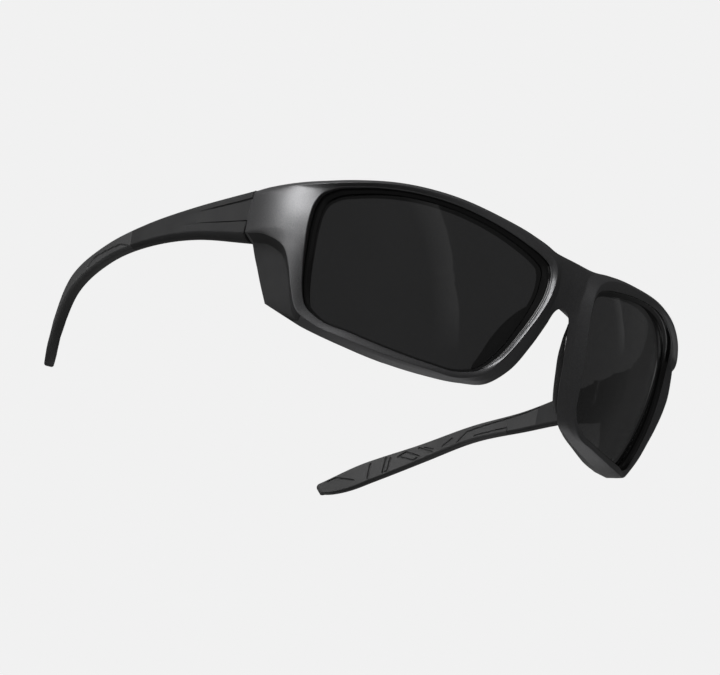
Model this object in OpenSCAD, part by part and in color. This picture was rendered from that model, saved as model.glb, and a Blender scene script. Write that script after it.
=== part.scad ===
// Wraparound safety glasses: a full-rim front with side shields, two dark lenses,
// two nose pads and two temples that fold on screwed hinges.
//
// The left side is the wearer's left, at +X. The lenses face -Y and the temples run
// towards +Y. The front is laid out on a curved sheet: u runs along the front from the
// middle, v is the height above the bridge and w stands out from the sheet towards -Y.

/* [Front] */
// Radius of the front's plan curve across the bridge
bridge_plan_r = 125; // [110:5:150]
// Radius of the front's plan curve across each lens
lens_plan_r = 74.5; // [73:0.5:77]
// Radius of the bend from each lens into its side
corner_plan_r = 30.5; // [29:0.5:32]
// Radius of the front's curve from brow to cheek
cross_r = 71; // [66:1:76]
// Backward lean of the front's lower edge, in degrees
lean = 1.1; // [0.5:0.1:1.5]
// Depth of the rims from face to back
rim_depth = 6; // [5.5:0.1:6.5]
// Depth of the end pieces where the temples meet them
end_depth = 4.8; // [4.6:0.1:5]
// Thickness of the side shields
shield_thickness = 1.7; // [1.4:0.1:2]

/* [Lenses] */
// Depth of the lens front behind the rim's face
lens_recess = 1.75; // [1.6:0.05:1.9]
// Lens thickness, along the rim's depth
lens_thickness = 2.3; // [2:0.1:2.5]

/* [Nose pads] */
// Thickness of the soft pad on the nose wall
pad_thickness = 1.5; // [1.2:0.1:1.8]

/* [Hinges] */
// Radius of the hinge barrel
barrel_r = 1.9; // [1.7:0.05:1.95]
// Radius of the screw's shank
screw_r = 0.7; // [0.6:0.05:0.8]
// Running clearance around the screw
screw_gap = 0.04; // [0.02:0.01:0.08]
// Height of the whole hinge barrel
barrel_h = 7; // [6.5:0.1:7.5]

/* [Temples] */
// Gap between front and temple at the seam
seam_gap = 0.15; // [0.1:0.05:0.3]

/* [Hidden] */
$fn = 48;

// ---- the curved sheet -------------------------------------------------------------

bridge_half = 8;
corner_start = 71.5;
side_heading = 88;
seam_u = 93.3;

function degrees(arc, radius) = arc / radius * 180 / PI;
heading_1 = degrees(bridge_half, bridge_plan_r);
heading_2 = heading_1 + degrees(corner_start - bridge_half, lens_plan_r);
side_start = corner_start + (side_heading - heading_2) * PI / 180 * corner_plan_r;

function arc_to(p, h, run, r) =
    let (h2 = h + degrees(run, r))
    [p.x + r * (sin(h2) - sin(h)), p.y - r * (cos(h2) - cos(h)), h2];

plan_1 = arc_to([0, 0], 0, bridge_half, bridge_plan_r);
plan_2 = arc_to(plan_1, heading_1, corner_start - bridge_half, lens_plan_r);
plan_3 = arc_to(plan_2, heading_2, side_start - corner_start, corner_plan_r);

// Plan position and heading at a distance u from the middle.
function plan(u) =
    u < bridge_half ? arc_to([0, 0], 0, u, bridge_plan_r)
    : u < corner_start ? arc_to(plan_1, heading_1, u - bridge_half, lens_plan_r)
    : u < side_start ? arc_to(plan_2, heading_2, u - corner_start, corner_plan_r)
    : [plan_3.x + (u - side_start) * cos(side_heading),
       plan_3.y + (u - side_start) * sin(side_heading), side_heading];

// A point of the curved sheet, as [x, y, z].
function wrap(p) =
    let (q = plan(p[0]), back = p[1] * p[1] / (2 * cross_r) - p[2])
    [q.x - sin(q[2]) * back, q.y + cos(q[2]) * back - tan(lean) * p[1], p[1]];

// ---- smooth loops through control points ------------------------------------------

// A control point's last value is 1 where the outline has a corner there.
function at(list, i) = list[(i + len(list)) % len(list)];
function step_len(pts, i) = norm(at(pts, i + 1) - at(pts, i));
function slope(pts, i) = (at(pts, i + 1) - at(pts, i)) / step_len(pts, i);
function tangent(pts, corners, i, side) =
    at(corners, i) == 1 ? slope(pts, i + side)
    : let (a = step_len(pts, i - 1), b = step_len(pts, i))
      (slope(pts, i - 1) * b + slope(pts, i) * a) / (a + b);
function hermite(p0, m0, p1, m1, f) =
    (2 * f ^ 3 - 3 * f ^ 2 + 1) * p0 + (f ^ 3 - 2 * f ^ 2 + f) * m0
    + (3 * f ^ 2 - 2 * f ^ 3) * p1 + (f ^ 3 - f ^ 2) * m1;
function loop_point(pts, corners, i, f) =
    let (d = step_len(pts, i))
    hermite(at(pts, i), tangent(pts, corners, i, 0) * d,
            at(pts, i + 1), tangent(pts, corners, i + 1, -1) * d, f);
function smooth_loop(pts, corners, steps) =
    [for (i = [0 : len(pts) - 1], k = [0 : steps - 1]) loop_point(pts, corners, i, k / steps)];

// ---- outlines of the front, one row for each station round a lens ------------------

// Inner edge of the face round the lens, [u, v, w], from the bridge over the brow,
// down the side and back along the cheek and the nose. The face stands proud of the
// sheet at the side of the head.
opening = [
    [8.1, 0.9, 0.25], [9.2, 3.1, 0.35], [11.8, 4.5, 0.35], [16.5, 5.9, 0.2], [25.7, 8.0, 0],
    [40, 9.7, 0.3], [53.2, 9.3, 0.5], [63.1, 7.5, 1.2], [69, 5.7, 1.7], [71.6, 3.6, 2.2],
    [72.7, 0.7, 2.5], [73, -2.8, 2.7], [73, -6.2, 2.6], [72.8, -9.6, 2.4], [72.6, -13, 2.1],
    [72.3, -16.4, 1.7], [71.8, -19.9, 1.4], [70.2, -24.3, 1], [66.1, -26.8, 0.6], [57, -28.4, 0.2],
    [45.2, -29.9, 0], [33.3, -30.45, 0], [24.6, -30, 0], [18.7, -27.7, 0], [14.7, -22.9, 0],
    [11.5, -15.8, 0], [9, -8.8, 0.2], [7.9, -4.2, 0.2], [7.8, -1.5, 0.2]
];
// Outer edge of the face, [u, v, w].
face_edge = [
    [6.9, 1.2, 1.2], [7.9, 4.1, 1.1], [10.2, 6.2, 0.8], [15.1, 8.2, 0.4], [25.3, 9.8, 0.3],
    [40, 10.8, 1.3], [53.6, 10.2, 1.9], [64.5, 8, 2.6], [74, 5.7, 2.9], [84, 4.5, 1.4],
    [seam_u, 4.1, 0], [seam_u, -1, 0], [seam_u, -6.5, 0], [84, -8.1, 1.4], [78.2, -11.2, 2.3],
    [76, -15.9, 2.2], [74.8, -20.3, 2], [72.4, -25.8, 1.5], [67.4, -28.4, 1.5], [57.7, -30.4, 1.4],
    [45.3, -31.7, 1.1], [33, -31.9, 0.5], [22.9, -31.1, 0.1], [16.8, -28.2, 0.4], [13.6, -23, 0.8],
    [10.5, -15.8, 0.9], [8, -8.7, 1.1], [6.8, -4, 1.2], [6.6, -1.3, 1.2]
];
// Foot of the step or bevel outside the face, [u, v, w].
face_foot = [
    [4.4, 1.3, -0.5], [5.2, 5.8, -0.5], [8.7, 7.8, -0.6], [14.8, 9.3, -0.7], [25.2, 10.7, -0.5],
    [40, 11.8, 0.4], [53.6, 11.2, 0.9], [64.5, 9.1, 1.7], [74, 6.9, 2], [84, 5.7, 0.6],
    [seam_u, 5.2, -0.7], [seam_u, -1, -0.7], [seam_u, -8, -2.6], [84.2, -9.8, -2.2], [80, -12.2, -2],
    [77.7, -16.5, -2], [76.5, -20.8, -2], [73.8, -26.6, -1.4], [67.8, -28.8, 0], [57.8, -30.8, 0.2],
    [45.3, -32.2, 0], [33, -32.3, -0.5], [22.7, -31.5, -0.9], [15.5, -29, -0.9], [10.9, -23.8, -0.8],
    [7.8, -16.3, -0.8], [5.7, -9.6, -0.8], [4.5, -4.9, -0.7], [4.1, -1.5, -0.6]
];
// Outer edge of the front as seen from ahead, [u, v, w].
outer_edge = [
    [0, 1.6, -0.8], [0, 7.6, -1], [6.6, 7.9, -1.6], [14.6, 9.4, -2], [25.2, 10.8, -2],
    [40, 11.9, -1.6], [53.6, 11.3, -1.2], [64.5, 9.4, -0.8], [74, 7.2, -0.4], [84, 5.9, -1],
    [seam_u, 5.3, -2], [seam_u, -1, -2], [seam_u, -8.2, -3.2], [91.9, -11.5, -3.2], [90, -15.6, -3.2],
    [88, -19.8, -3.2], [86.1, -23.6, -3.2], [79, -26.1, -3], [68.6, -29.2, -2.6], [58, -31.3, -2.4],
    [45.3, -32.7, -2.6], [32.8, -32.7, -3], [22.2, -31.7, -3], [14, -29.6, -2.4], [9.35, -24.8, -1.9],
    [6.05, -17.3, -1.8], [3.85, -10.9, -1.8], [2.2, -6.3, -1.7], [0, -4.5, -1.6]
];
outer_corners = [for (i = [0 : 28]) (i == 1 || i == 10 || i == 12 || i == 16 || i == 28) ? 1 : 0];
end_corners = [for (i = [0 : 28]) (i == 10 || i == 12) ? 1 : 0];
no_corners = [for (i = [0 : 28]) 0];
// Back edge of the front as a step from the outer edge, [du, dv], and its depth w.
back_shift = [
    [0, 0], [0, 0], [0, -0.4], [0, -0.7], [0, -0.7], [0, -0.7], [0, -0.7], [0, -0.7], [0, -0.7], [0, -0.4],
    [0, 0], [0, 0], [0, 0], [0, 0], [0, 0], [0, 0], [0, 0], [0, 0.4],
    [0, 0.8], [0, 0.9], [0.5, 0.9], [1.2, 1.1], [2.3, 1.2], [5, 1.4],
    [5.5, 0.6], [5.5, 0.6], [5.4, 0.7], [5.2, 1.8], [0, 1]
];
shield_back = 3.2 + shield_thickness;
back_depth = [
    rim_depth, rim_depth, rim_depth, rim_depth, rim_depth, rim_depth,
    rim_depth, rim_depth, rim_depth, 5.4, end_depth, end_depth,
    end_depth, shield_back, shield_back, shield_back, shield_back, shield_back + 0.4,
    rim_depth, rim_depth, rim_depth, rim_depth, rim_depth, 6.2, 6.9, 7.1, 7.1, 6.8, rim_depth
];
// Width of the ledge that the lens sits behind.
ledge_width = [
    1.9, 1.9, 1.9, 1.8, 1.6, 1.5, 1.4, 1.4, 1.4, 1.4, 1.4, 1.4, 1.4, 1.4, 1.5, 1.6, 1.5, 1.2,
    0.8, 0.75, 0.75, 0.75, 0.75, 0.8, 1, 1.2, 1.5, 1.8, 1.9
];
// How far the face bulges between its two edges.
face_crown = [
    0.1, 0.1, 0.1, 0.1, 0.1, 0.1, 0.1, 0.1, 0.25, 0.6, 0.9, 0.9, 0.9, 0.5, 0.2,
    0.1, 0.1, 0.1, 0.1, 0.1, 0.1, 0.1, 0.1, 0.1, 0.1, 0.1, 0.1, 0.1, 0.1
];

loop_steps = 3;
lens_edge_in = 0.5;
groove_in = 0.4;
lip_in = 1.6;
lens_gap = 0.05;
lens_middle = [40, -10.5];

opening_pts = smooth_loop(opening, no_corners, loop_steps);
face_pts = smooth_loop(face_edge, end_corners, loop_steps);
foot_pts = smooth_loop(face_foot, end_corners, loop_steps);
outer_pts = smooth_loop(outer_edge, outer_corners, loop_steps);
stations = len(opening_pts);

// A value of a short list, read at a station by straight interpolation.
function along(list, j) =
    let (i = floor(j / loop_steps), f = j / loop_steps - i)
    at(list, i) * (1 - f) + at(list, i + 1) * f;
// A point a given distance inside the lens opening, at depth w.
function inside(j, distance, w) =
    let (t = at(opening_pts, j + 1) - at(opening_pts, j - 1), n = [-t.y, t.x] / norm([t.x, t.y]),
         p = [opening_pts[j].x, opening_pts[j].y] - n * distance)
    [p.x, p.y, w];
function mix(a, b, f) = a * (1 - f) + b * f;
function back_point(j) =
    let (shift = along(back_shift, j))
    [outer_pts[j][0] + shift[0], outer_pts[j][1] + shift[1], -along(back_depth, j)];

// The rim's closed section at a station, from the ledge over the face to the groove.
function rim_section(j) =
    let (ledge = along(ledge_width, j), b = back_point(j),
         high = opening_pts[j][2], face_in = inside(j, -0.3, high - 0.05),
         crown = along(face_crown, j), lip = inside(j, lip_in, 0.4 - rim_depth),
         groove_back = -lens_recess - lens_thickness - lens_gap)
    concat(
        [inside(j, ledge, -1.5), inside(j, 0, -0.85), inside(j, 0, high - 0.3)],
        [for (k = [0 : 5]) let (f = k / 5)
            mix(face_in, face_pts[j], f) + [0, 0, crown * 4 * f * (1 - f)]],
        [for (k = [0 : 4]) mix(foot_pts[j], outer_pts[j], k / 4)],
        [for (k = [0 : 5]) mix(b, lip, k / 5)],
        [inside(j, lip_in, groove_back), inside(j, groove_in, groove_back),
         inside(j, groove_in, lens_gap - lens_recess), inside(j, ledge, lens_gap - lens_recess)]
    );

front_sections = [for (j = [0 : stations - 1]) [for (p = rim_section(j)) wrap(p)]];

// ---- skins --------------------------------------------------------------------------

// A closed ring of sections, each a list of points.
module ring_skin(sections) {
    n = len(sections);
    m = len(sections[0]);
    polyhedron(
        points = [for (s = sections, p = s) p],
        faces = [for (i = [0 : n - 1], k = [0 : m - 1])
            let (a = i * m, b = ((i + 1) % n) * m, k2 = (k + 1) % m)
            each [[a + k, b + k2, b + k], [a + k, a + k2, b + k2]]]
    );
}

// A row of sections with a fan at each end.
module row_skin(sections) {
    n = len(sections);
    m = len(sections[0]);
    function middle(s) = [for (c = [0 : 2]) [for (p = s) 1] * [for (p = s) p[c]] / m];
    polyhedron(
        points = concat([for (s = sections, p = s) p], [middle(sections[0]), middle(sections[n - 1])]),
        faces = concat(
            [for (i = [0 : n - 2], k = [0 : m - 1])
                let (a = i * m, b = a + m, k2 = (k + 1) % m)
                each [[a + k, b + k, b + k2], [a + k, b + k2, a + k2]]],
            [for (k = [0 : m - 1]) [n * m, k, (k + 1) % m]],
            [for (k = [0 : m - 1]) [n * m + 1, (n - 1) * m + (k + 1) % m, (n - 1) * m + k]])
    );
}

module on_side(side) {
    if (side == "left") children();
    else mirror([1, 0, 0]) children();
}

// Moves the glasses so that they stand on z = 0 with their middle over the origin.
module stand() {
    front_y = min([for (s = front_sections, p = s) p.y]);
    back_y = max([for (s = tip_end_sections, p = s) p.y]);
    low_z = min([for (s = front_sections, p = s) p.z]);
    translate([0, -(front_y + back_y) / 2, -low_z]) children();
}

// ---- hinge places --------------------------------------------------------------------

seam_point = wrap([seam_u, 0, 0]);
barrel_x = seam_point.x - end_depth - barrel_r - 0.35;
barrel_y = seam_point.y + 1.7;
barrel_low = -4.9;
knuckle_gap = 0.1;
mid_low = barrel_low + 2.3;
mid_high = barrel_low + barrel_h - 2.3;
anchor_depth = 1.6;
leaf_out = seam_point.x - end_depth + anchor_depth;

// ---- the parts -------------------------------------------------------------------------

module front_half() {
    ring_skin(front_sections);
}

module front_frame() {
    color([0.2, 0.2, 0.21])
    stand()
    difference() {
        union() {
            front_half();
            mirror([1, 0, 0]) front_half();
        }
        for (side = ["left", "right"])
            on_side(side) front_anchor(0.02);
    }
}

module lens(side) {
    rings = [0.25, 0.5, 0.75, 1];
    front_w = -lens_recess;
    back_w = -lens_recess - lens_thickness;
    function ring(f, w) =
        [for (j = [0 : stations - 1])
            let (p = inside(j, lens_edge_in, w), q = mix(lens_middle, [p.x, p.y], f))
            wrap([q.x, q.y, w])];
    color([0.1, 0.1, 0.11])
    stand() on_side(side)
    row_skin(concat(
        [for (f = rings) ring(f, front_w)],
        [for (k = [3 : -1 : 0]) ring(rings[k], back_w)]));
}

// ---- nose pads

pad_first = 72;
pad_last = 80;
// thickness and reach behind the frame for each station of a pad
pad_shape = [
    [0.3, 1.9], [0.4, 2.6], [0.7, 3], [1, 3.2], [1.15, 3.1],
    [1.1, 2.7], [0.95, 2], [0.6, 1.3], [0.35, 0.7]
];
function pad_section(j) =
    let (s = outer_pts[j], b = back_point(j), along_wall = (b - s) / norm(b - s),
         out = [along_wall[2], 0, -along_wall[0]],
         shape = pad_shape[j - pad_first],
         t = pad_thickness * shape[0],
         low = s + along_wall * 1.6 + out * 0.12,
         high = b + along_wall * shape[1] + out * 0.12)
    [low, low + out * t * 0.55 + along_wall * 0.1, low + out * t + along_wall * 0.9,
     mix(low, high, 0.5) + out * t * 1.1, high + out * t - along_wall * 0.9,
     high + out * t * 0.5, high, mix(low, high, 0.5)];

module nose_pad(side) {
    color([0.12, 0.12, 0.12])
    stand() on_side(side)
    row_skin([for (j = [pad_last : -1 : pad_first]) [for (p = pad_section(j)) wrap(p)]]);
}

// ---- hinges

module front_anchor(grow) {
    translate([barrel_x - 0.4 - grow, barrel_y - 9 - grow, barrel_low + 0.3 - grow])
        cube([leaf_out - barrel_x + 0.4 + 2 * grow, 9 - 1.9 + 2 * grow, barrel_h - 0.6 + 2 * grow]);
}

module knuckle(low, high) {
    translate([barrel_x, barrel_y, low]) cylinder(r = barrel_r, h = high - low);
}

module front_hinge_leaf(side) {
    screw_head_h = 0.9;
    color([0.55, 0.55, 0.57])
    stand() on_side(side)
    difference() {
        union() {
            front_anchor(0);
            knuckle(barrel_low, mid_low - knuckle_gap);
            knuckle(mid_high + knuckle_gap, barrel_low + barrel_h);
            translate([barrel_x - 1.2, barrel_y - 2, barrel_low])
                cube([2.8, 2, mid_low - knuckle_gap - barrel_low]);
            translate([barrel_x - 1.2, barrel_y - 2, mid_high + knuckle_gap])
                cube([2.8, 2, barrel_low + barrel_h - mid_high - knuckle_gap]);
        }
        translate([barrel_x - 6, barrel_y - 2.2, mid_low - knuckle_gap])
            cube([12, 8, mid_high - mid_low + 2 * knuckle_gap]);
        translate([barrel_x, barrel_y, barrel_low - 1])
            cylinder(r = screw_r + screw_gap, h = barrel_h + 2);
        translate([barrel_x, barrel_y, barrel_low + barrel_h - screw_head_h])
            cylinder(r = 1.35, h = 2);
    }
}

module temple_anchor(grow) {
    translate([barrel_x - 0.3 - grow, barrel_y + 2.3 - grow, mid_low - 1.2 - grow])
        cube([leaf_out - barrel_x + 0.9 + 2 * grow, 5.5 + 2 * grow, mid_high - mid_low + 2.4 + 2 * grow]);
}

module temple_hinge_leaf(side) {
    color([0.55, 0.55, 0.57])
    stand() on_side(side)
    difference() {
        union() {
            temple_anchor(0);
            knuckle(mid_low, mid_high);
            translate([barrel_x - 0.3, barrel_y, mid_low]) cube([2.1, 2.5, mid_high - mid_low]);
        }
        translate([barrel_x, barrel_y, mid_low - 1])
            cylinder(r = screw_r + screw_gap, h = mid_high - mid_low + 2);
    }
}

module hinge_screw(side) {
    head_low = barrel_low + barrel_h - 0.9;
    color([0.7, 0.7, 0.72])
    stand() on_side(side)
    translate([barrel_x, barrel_y, 0])
    difference() {
        union() {
            translate([0, 0, barrel_low + 0.2]) cylinder(r = screw_r, h = head_low - barrel_low);
            translate([0, 0, head_low]) cylinder(r = 1.3, h = 0.8);
        }
        translate([-2, -0.15, head_low + 0.45]) cube([4, 0.3, 1]);
    }
}

// ---- temples

// Stations of the temple's outer face at mid height:
// [x, y, z, height, thickness, lean of the section in degrees, bevel scale].
temple_rows = [
    [seam_point.x, seam_point.y, -1.45, 13.4, end_depth, -lean, 1],
    [70.3, 70.3, -2.0, 8.2, 3.7, 1, 0.7],
    [70.9, 88.4, -4.0, 5.6, 3.1, 6, 0.5],
    [69.1, 106, -6.9, 4.5, 3, 15, 0.4],
    [65.8, 121.7, -12.5, 4.8, 2.9, 26, 0.35],
    [58.3, 135.5, -20.5, 5.8, 2.9, 35, 0.35],
    [51.6, 144.4, -27.8, 5, 2.7, 42, 0.35]
];

// The rows blended at a place s, counted in rows. The ends keep their own slope.
function temple_at(s) =
    let (last = len(temple_rows) - 1, i = min(max(floor(s), 0), last - 1), f = s - i,
         a = temple_rows[max(i - 1, 0)], p = temple_rows[i],
         q = temple_rows[i + 1], b = temple_rows[min(i + 2, last)],
         m0 = i == 0 ? q - p : (q - a) / 2, m1 = i == last - 1 ? q - p : (b - p) / 2)
    hermite(p, m0, q, m1, f);

// How far the under side still reaches, where the end of the tip is rounded off from below.
function under_side(s) = s < 5.5 ? 1 : sqrt(1 - pow((s - 5.5) / 0.62, 2));

// A closed section of the temple. wide and tall shrink it, and low its under side alone.
function temple_section(s, wide, tall, shift, low = 1) =
    let (r = temple_at(s), ahead = temple_at(s + 0.02), behind = temple_at(s - 0.02),
         run = [ahead.x - behind.x, ahead.y - behind.y] / norm([ahead.x - behind.x, ahead.y - behind.y]),
         out = [run.y, -run.x, 0], up = [run.x * sin(r[5]), run.y * sin(r[5]), cos(r[5])],
         h = r[3] / 2 * tall, t = r[4] * wide, c = r[6], in0 = (t - r[4]) / 2,
         pts = [[-0.7 * c, h], [0, h - 1.1 * c], [0, 0.3 * h], [0, -0.35 * h], [0, -h + 1.6 * c],
                [-1.2 * c, -h + 0.6 * c], [-2.6 * c, -h], [-t + 0.5, -h], [-t, -h + 0.5],
                [-t, 0], [-t, h - 0.5], [-t + 0.5, h]])
    [for (p = pts)
        [r.x, r.y, r.z] + out * (p[0] + in0) + shift * run_3d(run, r[5])
            + up * p[1] * (p[1] < 0 ? low * under_side(s) : 1)];
function run_3d(run, lean_a) = [run.x * cos(lean_a), run.y * cos(lean_a), -sin(lean_a)];

tip_row = 2.3;
tongue_end = 4.9;
last_row = 6;
tip_end_sections = [
    temple_section(last_row, 0.95, 0.93, 0.5, 0.7),
    temple_section(last_row, 0.8, 0.8, 0.9, 0.3),
    temple_section(last_row, 0.6, 0.6, 1.1, 0.05)
];

module temple(side) {
    color([0.15, 0.15, 0.16])
    stand() on_side(side)
    difference() {
        row_skin(concat(
            [temple_section(0, 1, 1, seam_gap)],
            [for (k = [1 : 10]) temple_section(k / 10 * tip_row, 1, 1, 0)],
            [for (k = [0 : 8]) temple_section(mix(tip_row, tongue_end, k / 8), 0.4, 0.5, 0)]));
        temple_anchor(0.02);
    }
}

module temple_tip(side) {
    start = tip_row + 0.008;
    color([0.1, 0.1, 0.1])
    stand() on_side(side)
    row_skin(concat(
        [for (k = [8 : -1 : 0]) temple_section(mix(start, tongue_end + 0.02, k / 8), 0.46, 0.54, 0)],
        [for (k = [0 : 16]) temple_section(mix(start, last_row, k / 16), 1, 1, 0)],
        tip_end_sections));
}

front_frame();
lens("left");  // left_lens
lens("right");  // right_lens
nose_pad("left");  // left_nose_pad
nose_pad("right");  // right_nose_pad
front_hinge_leaf("left");  // left_front_hinge_leaf
front_hinge_leaf("right");  // right_front_hinge_leaf
temple_hinge_leaf("left");  // left_temple_hinge_leaf
temple_hinge_leaf("right");  // right_temple_hinge_leaf
hinge_screw("left");  // left_hinge_screw
hinge_screw("right");  // right_hinge_screw
temple("left");  // left_temple
temple("right");  // right_temple
temple_tip("left");  // left_temple_tip
temple_tip("right");  // right_temple_tip
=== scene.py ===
"""Wraparound safety glasses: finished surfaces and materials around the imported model.

The front is laid out on the same curved sheet as the CAD part: u runs along the front from
its middle, v is the height above the bridge and w stands out from the sheet. Lengths are in
millimetres until a mesh is made.
"""

import math

import bmesh
import bpy
import numpy as np
from mathutils import Matrix, Vector


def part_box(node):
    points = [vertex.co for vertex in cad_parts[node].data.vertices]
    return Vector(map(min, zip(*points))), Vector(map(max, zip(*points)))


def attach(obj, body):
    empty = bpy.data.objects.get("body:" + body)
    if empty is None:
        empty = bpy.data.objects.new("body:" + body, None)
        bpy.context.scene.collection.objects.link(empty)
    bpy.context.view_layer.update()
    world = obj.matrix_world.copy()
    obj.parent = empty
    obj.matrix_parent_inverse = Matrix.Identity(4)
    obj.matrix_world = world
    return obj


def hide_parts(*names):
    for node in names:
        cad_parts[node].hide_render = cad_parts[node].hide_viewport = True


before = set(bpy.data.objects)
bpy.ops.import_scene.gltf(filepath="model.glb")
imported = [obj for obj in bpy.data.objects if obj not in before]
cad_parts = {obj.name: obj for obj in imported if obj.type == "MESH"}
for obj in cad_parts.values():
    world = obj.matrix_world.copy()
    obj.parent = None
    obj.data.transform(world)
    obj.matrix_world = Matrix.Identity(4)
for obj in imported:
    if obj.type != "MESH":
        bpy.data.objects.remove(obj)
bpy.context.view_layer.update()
MM = 0.001

# ---- the curved sheet ---------------------------------------------------------------------

BRIDGE_PLAN_R = 125
LENS_PLAN_R = 74.5
CORNER_PLAN_R = 30.5
CROSS_R = 71
LEAN = math.radians(1.1)
BRIDGE_HALF = 8
CORNER_START = 71.5
SIDE_HEADING = math.radians(88)
SEAM_U = 93.3
HEADING_1 = BRIDGE_HALF / BRIDGE_PLAN_R
HEADING_2 = HEADING_1 + (CORNER_START - BRIDGE_HALF) / LENS_PLAN_R
SIDE_START = CORNER_START + (SIDE_HEADING - HEADING_2) * CORNER_PLAN_R


def arc_from(x, y, heading, run, radius):
    """The plan position and heading after a run along an arc."""
    end = heading + run / radius
    return (x + radius * (np.sin(end) - np.sin(heading)),
            y - radius * (np.cos(end) - np.cos(heading)), end)


def plan(u):
    """Plan position and heading at distances u from the middle."""
    run_1 = np.clip(u, None, BRIDGE_HALF)
    run_2 = np.clip(u - BRIDGE_HALF, 0, CORNER_START - BRIDGE_HALF)
    run_3 = np.clip(u - CORNER_START, 0, SIDE_START - CORNER_START)
    straight = np.clip(u - SIDE_START, 0, None)
    at = arc_from(0.0, 0.0, 0.0, run_1, BRIDGE_PLAN_R)
    at = arc_from(*at, run_2, LENS_PLAN_R)
    x, y, heading = arc_from(*at, run_3, CORNER_PLAN_R)
    return x + straight * np.cos(heading), y + straight * np.sin(heading), heading


def wrap(p):
    """Points (u, v, w) on the sheet as (x, y, z)."""
    p = np.asarray(p, float)
    x, y, heading = plan(p[..., 0])
    back = p[..., 1] ** 2 / (2 * CROSS_R) - p[..., 2]
    return np.stack([x - np.sin(heading) * back,
                     y + np.cos(heading) * back - math.tan(LEAN) * p[..., 1],
                     p[..., 1]], -1)


# ---- smooth loops -------------------------------------------------------------------------

STEPS = 8


def hermite(p0, m0, p1, m1, f):
    return ((2 * f ** 3 - 3 * f ** 2 + 1) * p0 + (f ** 3 - 2 * f ** 2 + f) * m0
            + (3 * f ** 2 - 2 * f ** 3) * p1 + (f ** 3 - f ** 2) * m1)


def smooth_loop(points, corners=()):
    """STEPS points for each control point of a closed loop, with corners kept sharp."""
    p = np.asarray(points, float)
    count = len(p)
    length = np.linalg.norm(np.roll(p, -1, 0) - p, axis=1)
    slope = (np.roll(p, -1, 0) - p) / length[:, None]
    found = []
    for i in range(count):
        j = (i + 1) % count

        def tangent(k, side):
            if k in corners:
                return slope[(k + side) % count]
            a, b = length[k - 1], length[k]
            return (slope[k - 1] * b + slope[k] * a) / (a + b)

        for k in range(STEPS):
            found.append(hermite(p[i], tangent(i, 0) * length[i], p[j],
                                 tangent(j, -1) * length[i], k / STEPS))
    return np.array(found)


def along(values):
    """A short closed list of values, read at every station."""
    v = np.asarray(values, float)
    i = np.arange(len(v) * STEPS)
    f = (i % STEPS) / STEPS
    a, b = v[i // STEPS], v[(i // STEPS + 1) % len(v)]
    f = f if v.ndim == 1 else f[:, None]
    return a * (1 - f) + b * f


# ---- outlines of the front, one row for each control station round a lens -------------------

OPENING = [
    (8.1, 0.9, 0.25), (9.2, 3.1, 0.35), (11.8, 4.5, 0.35), (16.5, 5.9, 0.2), (25.7, 8.0, 0),
    (40, 9.7, 0.3), (53.2, 9.3, 0.5), (63.1, 7.5, 1.2), (69, 5.7, 1.7), (71.6, 3.6, 2.2),
    (72.7, 0.7, 2.5), (73, -2.8, 2.7), (73, -6.2, 2.6), (72.8, -9.6, 2.4), (72.6, -13, 2.1),
    (72.3, -16.4, 1.7), (71.8, -19.9, 1.4), (70.2, -24.3, 1), (66.1, -26.8, 0.6), (57, -28.4, 0.2),
    (45.2, -29.9, 0), (33.3, -30.45, 0), (24.6, -30, 0), (18.7, -27.7, -0.1), (14.7, -22.9, -0.3),
    (11.5, -15.8, 0), (9, -8.8, 0.2), (7.9, -4.2, 0.2), (7.8, -1.5, 0.2)]
FACE_EDGE = [
    (6.9, 1.2, 1.2), (7.9, 4.1, 1.1), (10.2, 6.2, 0.8), (15.1, 8.2, 0.4), (25.3, 9.8, 0.3),
    (40, 10.8, 1.3), (53.6, 10.2, 1.9), (64.5, 8, 2.6), (74, 5.7, 2.9), (84, 4.5, 1.4),
    (SEAM_U, 4.1, 0), (SEAM_U, -1, 0), (SEAM_U, -6.5, 0), (84, -8.1, 1.4), (78.2, -11.2, 2.3),
    (76, -15.9, 2.2), (74.8, -20.3, 2), (72.4, -25.8, 1.5), (67.4, -28.4, 1.5), (57.7, -30.4, 1.4),
    (45.3, -31.7, 1.1), (33, -31.9, 0.5), (22.9, -31.1, 0.1), (17, -28.1, 0.35), (13.9, -23, 0.7),
    (10.8, -15.8, 0.8), (8.3, -8.7, 1), (7.1, -4, 1.1), (6.9, -1.3, 1.2)]
FACE_FOOT = [
    (4.4, 1.3, -0.5), (5.2, 5.8, -0.5), (8.7, 7.8, -0.6), (14.8, 9.3, -0.7), (25.2, 10.7, -0.5),
    (40, 11.8, 0.4), (53.6, 11.2, 0.9), (64.5, 9.1, 1.7), (74, 6.9, 2), (84, 5.7, 0.6),
    (SEAM_U, 5.2, -0.7), (SEAM_U, -1, -0.7), (SEAM_U, -8, -2.6), (84.2, -9.8, -2.2),
    (80, -12.2, -2), (77.7, -16.5, -2), (76.5, -20.8, -2), (73.8, -26.6, -1.4), (67.8, -28.8, 0),
    (57.8, -30.8, 0.2), (45.3, -32.2, 0), (33, -32.3, -0.5), (22.7, -31.5, -0.9),
    (15.5, -29, -0.9), (10.9, -23.8, -0.8), (7.8, -16.3, -0.8), (5.7, -9.6, -0.8),
    (4.5, -4.9, -0.7), (4.1, -1.5, -0.6)]
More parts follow.
